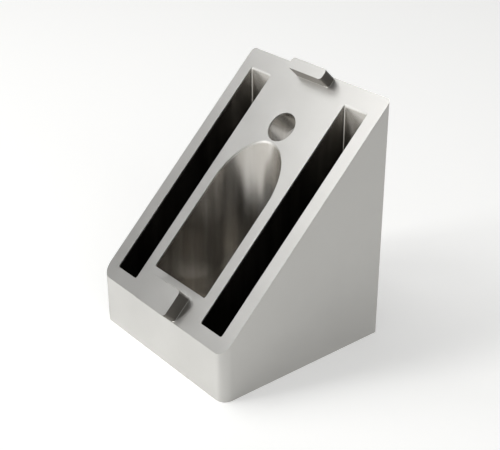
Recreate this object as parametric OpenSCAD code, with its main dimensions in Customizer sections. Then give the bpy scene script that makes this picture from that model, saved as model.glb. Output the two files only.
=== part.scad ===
// Die-cast 45 degree angle bracket for joining two slotted aluminium profiles.
// The square base sits on the cut end of one profile and the slope lies along the side of the other.
// Origin: middle of the base. +Z points away from the base, -Y towards the short front wall.

/* [Body] */
// Width across the bracket, the same as the profile's side
body_width = 40; // [36:0.5:45]
// Depth of the base, from the short front wall to the tall back wall
body_depth = 40; // [36:0.5:45]
// Height of the short front wall
front_height = 10.4; // [9:0.1:14]
// Angle of the slope above the base
slope_angle = 45; // [40:1:48]
// Radius of the two upright corners at the front
front_corner = 2.2; // [1:0.1:3]
// Radius of the two upright corners at the back
back_corner = 0.8; // [0.4:0.1:2]

/* [Side slots] */
// Width of each slot
slot_width = 6.3; // [4:0.1:6.6]
// Wall between a slot and the outer side
side_wall = 2.95; // [2.5:0.05:4]
// Wall between a slot and the front
slot_front_wall = 2.1; // [2:0.1:4]
// Wall between a slot and the back
slot_back_wall = 2.9; // [2.5:0.1:4]
// Thickness of metal under a slot
slot_floor = 3; // [2:0.5:6]
// Radius of a slot's corners
slot_corner = 0.4; // [0.3:0.1:1.5]

/* [Pocket for the end screw] */
// Radius of the round rear end, which is also half the pocket's width
pocket_radius = 8.15; // [7:0.05:8.3]
// Wall between the pocket and the front
pocket_front_wall = 5.1; // [4.5:0.1:7]
// Thickness of metal under the screw's head
pocket_floor = 6; // [4:0.5:8]
// Radius of the pocket's front corners
pocket_corner = 0.4; // [0.3:0.1:2]
// Diameter of the clearance hole for the M8 end screw
end_hole_diameter = 8.5; // [8.4:0.1:9]

/* [Hole for the slope screw] */
// Diameter of the clearance hole for the M6 slope screw
slope_hole_diameter = 6.4; // [6.2:0.1:6.6]
// Distance of the hole from the front edge, measured up the slope
slope_hole_distance = 43.4; // [43.2:0.1:44.5]
// Thickness of metal under the slope screw's head
slope_hole_depth = 5.5; // [4.5:0.5:6.5]
// Diameter of the recess that takes the slope screw's head and its key
head_recess_diameter = 12.5; // [11.5:0.1:12.8]

/* [Locating keys] */
// Width of both keys, a sliding fit in a 10 mm profile slot
key_width = 9.8; // [9:0.1:9.9]
// Height of both keys above the slope
key_height = 3.2; // [1.5:0.1:3.5]
// Radius of the upright corners of both keys
key_corner = 0.8; // [0.3:0.1:1]
// Length of the lower key, measured up the slope
lower_key_length = 5.7; // [3:0.1:6]
// Gap between the lower key and the front edge
lower_key_gap = 0.1; // [0.05:0.05:1]
// Length of the upper key, which ends flush with the back edge
upper_key_length = 2.4; // [2.1:0.1:4]

/* [Hidden] */
$fn = 64;
slope_rise = body_depth * tan(slope_angle);
back_height = front_height + slope_rise;
slope_length = body_depth / cos(slope_angle);
slot_outer_x = body_width / 2 - side_wall;
slot_inner_x = slot_outer_x - slot_width;
slot_front_y = -body_depth / 2 + slot_front_wall;
slot_back_y = body_depth / 2 - slot_back_wall;
pocket_front_y = -body_depth / 2 + pocket_front_wall;
// How far a cutting shape runs past the face that it cuts
past = 1;
// How far a key's foot sinks into the body that it is cast with
key_foot = 0.5;
cast_colour = [0.80, 0.80, 0.78];

// Puts its children on the slope: x across, y up the slope from the front edge, z out of the metal
module on_slope() {
    translate([0, -body_depth / 2, front_height])
        rotate([slope_angle, 0, 0])
            children();
}

// Upright block between two corners of its plan, with rounded upright edges at its front and its back
module rounded_block(x_from, x_to, y_from, y_to, height, front_radius, back_radius) {
    front_row = y_from + front_radius;
    back_row = y_to - back_radius;
    translate([x_from, front_row, 0])
        cube([x_to - x_from, back_row - front_row, height]);
    translate([x_from + front_radius, y_from, 0])
        cube([x_to - x_from - 2 * front_radius, 2 * front_radius, height]);
    translate([x_from + back_radius, y_to - 2 * back_radius, 0])
        cube([x_to - x_from - 2 * back_radius, 2 * back_radius, height]);
    for (x = [x_from + front_radius, x_to - front_radius])
        translate([x, front_row, 0])
            cylinder(r = front_radius, h = height);
    for (x = [x_from + back_radius, x_to - back_radius])
        translate([x, back_row, 0])
            cylinder(r = back_radius, h = height);
}

// Solid wedge: the plan's rounded square under the slope's side profile
module wedge() {
    intersection() {
        rounded_block(
            -body_width / 2, body_width / 2, -body_depth / 2, body_depth / 2,
            back_height, front_corner, back_corner);
        rotate([90, 0, 90])
            translate([0, 0, -body_width / 2 - past])
                linear_extrude(body_width + 2 * past)
                    polygon([
                        [-body_depth / 2 - past, -past],
                        [body_depth / 2 + past, -past],
                        [body_depth / 2 + past, back_height + past * tan(slope_angle)],
                        [-body_depth / 2 - past, front_height - past * tan(slope_angle)]
                    ]);
    }
}

// Deep slot beside the pocket, open at the slope; side is 1 for the right and -1 for the left
module side_slot(side) {
    translate([0, 0, slot_floor])
        rounded_block(
            side > 0 ? slot_inner_x : -slot_outer_x,
            side > 0 ? slot_outer_x : -slot_inner_x,
            slot_front_y, slot_back_y, back_height, slot_corner, slot_corner);
}

// Arched pocket that takes the head of the end screw, and the screw's clearance hole below it
module end_screw_pocket() {
    translate([0, 0, pocket_floor]) {
        cylinder(r = pocket_radius, h = back_height);
        rounded_block(
            -pocket_radius, pocket_radius, pocket_front_y, 0,
            back_height, pocket_corner, pocket_corner);
        translate([-pocket_radius, -pocket_radius / 2, 0])
            cube([2 * pocket_radius, pocket_radius / 2, back_height]);
    }
    translate([0, 0, -past])
        cylinder(d = end_hole_diameter, h = pocket_floor + 2 * past);
}

// Clearance hole square to the slope, with a wider recess that opens in the back wall
module slope_screw_hole() {
    on_slope()
        translate([0, slope_hole_distance, 0]) {
            translate([0, 0, -slope_hole_depth - past])
                cylinder(d = slope_hole_diameter, h = slope_hole_depth + 2 * past);
            translate([0, 0, -slope_hole_depth - body_depth])
                cylinder(d = head_recess_diameter, h = body_depth);
        }
}

// Raised key across the middle of the slope, between two distances up the slope.
// Its foot is sunk into the body and stays in front of the back wall.
module locating_key(from, to) {
    intersection() {
        on_slope()
            translate([0, 0, -key_foot])
                rounded_block(
                    -key_width / 2, key_width / 2, from, to,
                    key_height + key_foot, key_corner, key_corner);
        translate([-body_width / 2, -body_depth, 0])
            cube([body_width, 1.5 * body_depth, 2 * back_height]);
    }
}

module angle_bracket() {
    color(cast_colour) {
        difference() {
            wedge();
            for (side = [-1, 1])
                side_slot(side);
            end_screw_pocket();
            slope_screw_hole();
        }
        locating_key(lower_key_gap, lower_key_gap + lower_key_length);
        locating_key(slope_length - upper_key_length, slope_length);
    }
}

angle_bracket();
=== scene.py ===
import math

import bmesh
import bpy
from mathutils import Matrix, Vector


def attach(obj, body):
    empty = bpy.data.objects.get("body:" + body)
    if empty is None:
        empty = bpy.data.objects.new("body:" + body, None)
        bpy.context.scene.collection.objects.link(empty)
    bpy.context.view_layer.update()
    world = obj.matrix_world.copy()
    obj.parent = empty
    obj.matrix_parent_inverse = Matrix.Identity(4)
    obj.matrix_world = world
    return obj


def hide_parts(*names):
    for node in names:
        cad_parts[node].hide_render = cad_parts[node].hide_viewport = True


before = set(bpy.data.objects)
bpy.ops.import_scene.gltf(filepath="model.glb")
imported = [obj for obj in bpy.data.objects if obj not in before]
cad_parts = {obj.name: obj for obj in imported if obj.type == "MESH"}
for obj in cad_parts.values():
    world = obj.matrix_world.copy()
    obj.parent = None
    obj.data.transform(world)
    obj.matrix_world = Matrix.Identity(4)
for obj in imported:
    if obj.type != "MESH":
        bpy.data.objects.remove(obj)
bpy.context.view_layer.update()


# The bracket is one die casting in an aluminium alloy. Its outer faces were tumbled after casting,
# so they are pale, even and satin. The walls left by the cores are painted darker, as painted shade
# in the slots and the pocket, and the slots' upper ends are painted lighter, as painted light. The
# sides and lower ends of the two keys are painted darker, as painted shade.

mm = 0.001

# The slope rises at 45 degrees from the top of the front wall.
slope_angle = math.radians(45)
front_wall_y = -20 * mm
front_wall_height = 10.4 * mm
away_from_slope = (0, -math.sin(slope_angle), math.cos(slope_angle))
up_the_slope = (0, math.cos(slope_angle), math.sin(slope_angle))

# The cores stood inside these distances from the middle of the base. The first lies in the metal
# between the pocket's core and those of the slots.
slots_start = 9.5 * mm
cores_reach_sideways = 18 * mm
cores_reach_endways = 18.5 * mm
cores_lowest = 0.5 * mm

# Depths below the slope between which the tumbled skin gives way to the cored walls and their painted
# shade.
lip_start = 0.1 * mm
lip_end = 0.5 * mm

# The slots' upper ends are painted light, more so towards the back wall and towards the slope.
slot_light_from_y = 9 * mm
slot_light_full_y = 17 * mm
slot_light_deepest = 8 * mm

# Heights above the slope between which its skin gives way to the painted shade of a key's sides.
key_foot_start = 0.04 * mm
key_foot_end = 0.12 * mm

# Radius that the casting's outer edges get, and the steps that it is made in.
casting_radius = 0.3 * mm
radius_steps = 3

# Colours, the first and the last of each run of clouds or streaks.
tumbled_colours = ("#B8B7B4", "#BFBEBB")
# The pocket's and the slots' colours are painted shade, darker in the slots.
pocket_shade_colours = ("#AEAAA4", "#C2BFBA")
slot_shade_colours = ("#7C7974", "#8E8B86")
# Painted light on the slots' upper ends.
slot_end_light_colour = "#B4B1AC"
# Painted shade on the keys' sides and lower ends.
key_side_shade_colour = "#706D68"

# Roughness in the same places.
tumbled_roughness = (0.38, 0.4)
cored_roughness = (0.21, 0.27)
key_side_roughness = 0.6

# The patterns. The pebbles are drawn coarser than real ones, of about 0.1 mm, so that they show.
cloud_size = 6 * mm
streak_width = 2.4 * mm
streak_lengthening = (1, 1, 0.08)
pebble_size = 0.5 * mm
pebble_height = 0.05 * mm
pebble_strength = 0.08
drag_mark_height = 0.04 * mm
drag_mark_strength = 0.5


def linear(hex_colour):
    """The linear values of an sRGB hex colour, which a shader works in.

    Each channel is divided by 12.92 near black. Elsewhere 0.055 is added to it, the sum is divided
    by 1.055, and the result is raised to the power of 2.4.
    """
    channels = [int(hex_colour[i:i + 2], 16) / 255 for i in (1, 3, 5)]
    return [c / 12.92 if c <= 0.04045 else ((c + 0.055) / 1.055) ** 2.4 for c in channels] + [1]


def add_node(tree, kind, settings=None, **links):
    """Adds one shader node, sets its properties, and sets or links its inputs.

    An input goes by its name, or by its number as i0, i1 and so on. A node given as a value is
    linked by its first output.
    """
    node = tree.nodes.new("ShaderNode" + kind)
    for name, value in (settings or {}).items():
        setattr(node, name, value)
    for name, value in links.items():
        by_number = name[0] == "i" and name[1:].isdigit()
        socket = node.inputs[int(name[1:]) if by_number else name.replace("_", " ")]
        if isinstance(value, bpy.types.Node):
            value = value.outputs[0]
        if isinstance(value, bpy.types.NodeSocket):
            tree.links.new(value, socket)
        else:
            socket.default_value = value
    return node


def tumbled_cast_aluminium():
    """Aluminium, die-cast and tumbled, worked out from the place on the casting.

    To the eye the outer faces are an even, satin grey. The cored walls are glossier, with drag marks
    along the way in which the cores were drawn out, and are painted darker as shade in the slots and
    the pocket. The slots' upper ends are painted lighter as light, and the keys' sides darker as shade.
    """
    material = bpy.data.materials.new("tumbled_cast_aluminium")
    material.use_nodes = True
    tree = material.node_tree
    coordinates = add_node(tree, "TexCoord")
    place = coordinates.outputs["Object"]
    normal = coordinates.outputs["Normal"]
    x, y, z = add_node(tree, "SeparateXYZ", Vector=place).outputs

    times = {"operation": "MULTIPLY"}
    without_sign = {"operation": "ABSOLUTE"}
    less_than = {"operation": "LESS_THAN"}
    more_than = {"operation": "GREATER_THAN"}
    share_along = {"operation": "DOT_PRODUCT"}
    smoothly = {"interpolation_type": "SMOOTHSTEP"}
    plain_number = {"data_type": "FLOAT"}

    # The depth below the slope is the upright distance to its plane times the cosine of its angle.
    plane_height = front_wall_height - front_wall_y
    plane = add_node(tree, "Math", {"operation": "ADD"}, i0=y, i1=plane_height)
    drop = add_node(tree, "Math", {"operation": "SUBTRACT"}, i0=plane, i1=z)
    depth = add_node(tree, "Math", times, i0=drop, i1=math.cos(slope_angle))
    sideways = add_node(tree, "Math", without_sign, i0=x)
    endways = add_node(tree, "Math", without_sign, i0=y)

    # The cored walls are below the lip, above the base and inside the outer walls.
    below_lip = add_node(tree, "MapRange", smoothly, Value=depth, From_Min=lip_start, From_Max=lip_end)
    above_base = add_node(tree, "Math", more_than, i0=z, i1=cores_lowest)
    below = add_node(tree, "Math", times, i0=below_lip, i1=above_base)
    between_sides = add_node(tree, "Math", less_than, i0=sideways, i1=cores_reach_sideways)
    between_ends = add_node(tree, "Math", less_than, i0=endways, i1=cores_reach_endways)
    inside = add_node(tree, "Math", times, i0=between_sides, i1=between_ends)
    cored = add_node(tree, "Math", times, i0=below, i1=inside)

    # Of these, the slots' walls are those away from the middle.
    off_middle = add_node(tree, "Math", more_than, i0=sideways, i1=slots_start)
    in_slot = add_node(tree, "Math", times, i0=cored, i1=off_middle)
    # Painted light on the slots' upper ends, stronger towards the back wall and towards the slope.
    near_back = add_node(tree, "MapRange", smoothly,
                         Value=y, From_Min=slot_light_from_y, From_Max=slot_light_full_y)
    upper_end = add_node(tree, "Math", times, i0=in_slot, i1=near_back)
    near_slope = add_node(tree, "MapRange", smoothly,
                          Value=depth, From_Min=lip_end, From_Max=slot_light_deepest, To_Min=1, To_Max=0)
    slot_end_painted_light = add_node(tree, "Math", times, i0=upper_end, i1=near_slope)

    # A key's sides and lower end are above the slope and face neither away from it nor up it. A face
    # is askew to a way when its normal goes less than 0.3 along it, and faces that way from 0.8.
    askew = 0.3
    facing = 0.8
    outwards = add_node(tree, "VectorMath", share_along, i0=normal, i1=away_from_slope).outputs["Value"]
    upwards = add_node(tree, "VectorMath", share_along, i0=normal, i1=up_the_slope).outputs["Value"]
    raised = add_node(tree, "MapRange", smoothly,
                      Value=depth, From_Min=-key_foot_end, From_Max=-key_foot_start, To_Min=1, To_Max=0)
    not_outwards = add_node(tree, "MapRange", smoothly,
                            Value=outwards, From_Min=askew, From_Max=facing, To_Min=1, To_Max=0)
    not_upwards = add_node(tree, "MapRange", smoothly,
                           Value=upwards, From_Min=askew, From_Max=facing, To_Min=1, To_Max=0)
    # The keys' sides and lower ends get painted shade in the colour, and are rougher.
    key_side_shade_and_dull = add_node(tree, "Math", times, i0=raised, i1=not_outwards)
    key_side_shade_and_dull = add_node(tree, "Math", times, i0=key_side_shade_and_dull, i1=not_upwards)

    # Clouds and streaks. The streaks are drawn out along the cores' way, which is upright. Nearly all
    # of a noise lies between the two limits.
    soft_detail = 3
    clouds = add_node(tree, "TexNoise", Vector=place, Scale=1 / cloud_size, Detail=soft_detail)
    drawn_out = add_node(tree, "Mapping", Vector=place, Scale=streak_lengthening)
    streaks = add_node(tree, "TexNoise", Vector=drawn_out, Scale=1 / streak_width, Detail=soft_detail)
    noise_low = 0.3
    noise_high = 0.7
    streak_share = add_node(tree, "MapRange", smoothly,
                            Value=streaks, From_Min=noise_low, From_Max=noise_high)

    # Colour: the tumbled skin, then the painted shade of the pocket, the slots and the keys' sides,
    # and the painted light on the slots' upper ends, laid over it.
    tumbled, pocket_shade, slot_light_and_shade = (
        add_node(tree, "MixRGB", Fac=share, Color1=linear(first), Color2=linear(last))
        for share, (first, last) in (
            (clouds, tumbled_colours), (streak_share, pocket_shade_colours), (streak_share, slot_shade_colours)))
    slot_light_and_shade = add_node(tree, "MixRGB", Fac=slot_end_painted_light, Color1=slot_light_and_shade, Color2=linear(slot_end_light_colour))
    # The cored walls' colour is painted shade.
    core_painted_shade = add_node(tree, "MixRGB", Fac=in_slot, Color1=pocket_shade, Color2=slot_light_and_shade)
    colour = add_node(tree, "MixRGB", Fac=cored, Color1=tumbled, Color2=core_painted_shade)
    colour = add_node(tree, "MixRGB", Fac=key_side_shade_and_dull, Color1=colour, Color2=linear(key_side_shade_colour))

    # Roughness: satin outside, smoother where a polished core has pressed the metal, and dull on the
    # keys' sides.
    outside, in_cores = (
        add_node(tree, "MapRange", smoothly,
                 Value=pattern, From_Min=noise_low, From_Max=noise_high, To_Min=least, To_Max=most)
        for pattern, (least, most) in ((clouds, tumbled_roughness), (streaks, cored_roughness)))
    roughness = add_node(tree, "Mix", plain_number, Factor=cored, A=outside, B=in_cores)
    roughness = add_node(tree, "Mix", plain_number, Factor=key_side_shade_and_dull, A=roughness, B=key_side_roughness)

    # Relief: fine pebbles from the tumbling stones, and drag marks along the cores' way.
    pebbles = add_node(tree, "TexNoise", Vector=place, Scale=1 / pebble_size, Detail=2)
    marks = add_node(tree, "Math", times, i0=cored, i1=streaks)
    grain = add_node(tree, "Bump", Strength=pebble_strength, Distance=pebble_height, Height=pebbles)
    relief = add_node(tree, "Bump", Strength=drag_mark_strength, Distance=drag_mark_height,
                      Height=marks, Normal=grain)

    shader = tree.nodes["Principled BSDF"]
    shader.inputs["Metallic"].default_value = 1
    tree.links.new(colour.outputs[0], shader.inputs["Base Color"])
    tree.links.new(roughness.outputs[0], shader.inputs["Roughness"])
    tree.links.new(relief.outputs[0], shader.inputs["Normal"])
    return material


def casting_with_soft_edges(solid):
    """A merged copy of the solid, with the casting radius on its sharp outer edges.

    Its triangles are joined into flat faces. An edge that bends outwards by more than the least bend
    gets the radius, and one that bends inwards by more than that stays sharp.
    """
    merge_distance = 0.002 * mm
    flat_within = math.radians(1)
    least_bend = math.radians(30)
    favour_large_faces = 100
    mesh = solid.data.copy()
    mesh.name = "bracket_casting"
    shape = bmesh.new()
    shape.from_mesh(mesh)
    bmesh.ops.remove_doubles(shape, verts=shape.verts, dist=merge_distance)
    bmesh.ops.dissolve_limit(shape, angle_limit=flat_within, verts=shape.verts, edges=shape.edges)
    for face in shape.faces:
        face.smooth = True
    rounded = shape.edges.layers.float.new("bevel_weight_edge")
    for edge in shape.edges:
        bend = edge.calc_face_angle_signed()
        edge[rounded] = bend > least_bend
        edge.smooth = bend > -least_bend
    shape.to_mesh(mesh)
    shape.free()
    casting = bpy.data.objects.new("bracket_casting", mesh)
    bpy.context.scene.collection.objects.link(casting)
    bevel = casting.modifiers.new("casting_radius", "BEVEL")
    bevel.width = casting_radius
    bevel.segments = radius_steps
    bevel.limit_method = "WEIGHT"
    even = casting.modifiers.new("even_faces", "WEIGHTED_NORMAL")
    even.mode = "FACE_AREA"
    even.weight = favour_large_faces
    even.keep_sharp = True
    return casting


casting = casting_with_soft_edges(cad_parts["angle_bracket"])
casting.data.materials.clear()
casting.data.materials.append(tumbled_cast_aluminium())
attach(casting, "root")
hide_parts("angle_bracket")


# The floor is a plain, matt sheet of white studio paper. It isn't part of the object. It is a little
# brighter to the camera and in reflections than by its lamps alone, so that it looks white.

floor_size = 6
paper_colour = "#F4F4F2"
paper_roughness = 0.9
glow_colour = "#FFFFFF"
glow_strength = 0.3


def studio_paper():
    """White paper, uncoated and matt, which keeps the object's shadow."""
    material = bpy.data.materials.new("studio_paper")
    material.use_nodes = True
    tree = material.node_tree
    rays = add_node(tree, "LightPath").outputs
    larger = {"operation": "MAXIMUM"}
    seen = add_node(tree, "Math", larger, i0=rays["Is Camera Ray"], i1=rays["Is Glossy Ray"])
    seen = add_node(tree, "Math", larger, i0=seen, i1=rays["Is Transmission Ray"])
    glow = add_node(tree, "Math", {"operation": "MULTIPLY"}, i0=seen, i1=glow_strength)
    shader = tree.nodes["Principled BSDF"]
    shader.inputs["Base Color"].default_value = linear(paper_colour)
    shader.inputs["Roughness"].default_value = paper_roughness
    shader.inputs["Emission Color"].default_value = linear(glow_colour)
    tree.links.new(glow.outputs[0], shader.inputs["Emission Strength"])
    return material


bpy.ops.mesh.primitive_plane_add(size=floor_size, location=(0, 0, 0))
floor = bpy.context.object
floor.name = "studio_floor"
floor.data.materials.append(studio_paper())


# The light comes from soft lamps overhead, at the left and at the right, from a low one in front for
# the short wall, and from a dim, even room. The lamps are all turned to the middle of the bracket.

lamp_target = Vector((0, 0, 22 * mm))
room_colour = "#FFFFFF"
room_strength = 0.15


def soft_lamp(name, place, size, power):
    """A square area lamp at a place and of a size in metres, with a power in watts."""
    lamp = bpy.data.lights.new(name, "AREA")
    lamp.size = size
    lamp.energy = power
    holder = bpy.data.objects.new(name, lamp)
    holder.location = place
    holder.rotation_euler = (lamp_target - Vector(place)).to_track_quat("-Z", "Y").to_euler()
    bpy.context.scene.collection.objects.link(holder)


soft_lamp("overhead_lamp", place=(0, 0, 1.2), size=1.2, power=3.5)
soft_lamp("left_lamp", place=(-0.5, -0.15, 0.75), size=0.4, power=1.3)
soft_lamp("near_left_lamp", place=(-0.16, -0.24, 0.36), size=0.15, power=0.44)
soft_lamp("right_lamp", place=(1.0, -0.3, 0.6), size=0.6, power=2.5)
soft_lamp("front_lamp", place=(-0.35, -0.9, 0.03), size=0.2, power=15.0)

room = bpy.data.worlds.new("dim_room")
room.use_nodes = True
backdrop = room.node_tree.nodes["Background"]
backdrop.inputs["Color"].default_value = linear(room_colour)
backdrop.inputs["Strength"].default_value = room_strength
bpy.context.scene.world = room
bpy.context.scene.view_settings.view_transform = "Standard"


# The camera stands where the photograph was taken from, turned onto the bracket and zoomed in on it.
# Its place is in millimetres from the middle of the base, and its lens and film in millimetres too.

camera_place = Vector((151.8, -120.7, 122.65)) * mm
view_direction = Vector((-0.690, 0.561, -0.457))
film_width = 36
photo_lens = 32.4
enlargement = 2.45

lens_data = bpy.data.cameras.new("camera")
lens_data.sensor_width = film_width
lens_data.lens = photo_lens * enlargement
camera = bpy.data.objects.new("camera", lens_data)
camera.location = camera_place
camera.rotation_euler = view_direction.to_track_quat("-Z", "Y").to_euler()
bpy.context.scene.collection.objects.link(camera)
bpy.context.scene.camera = camera
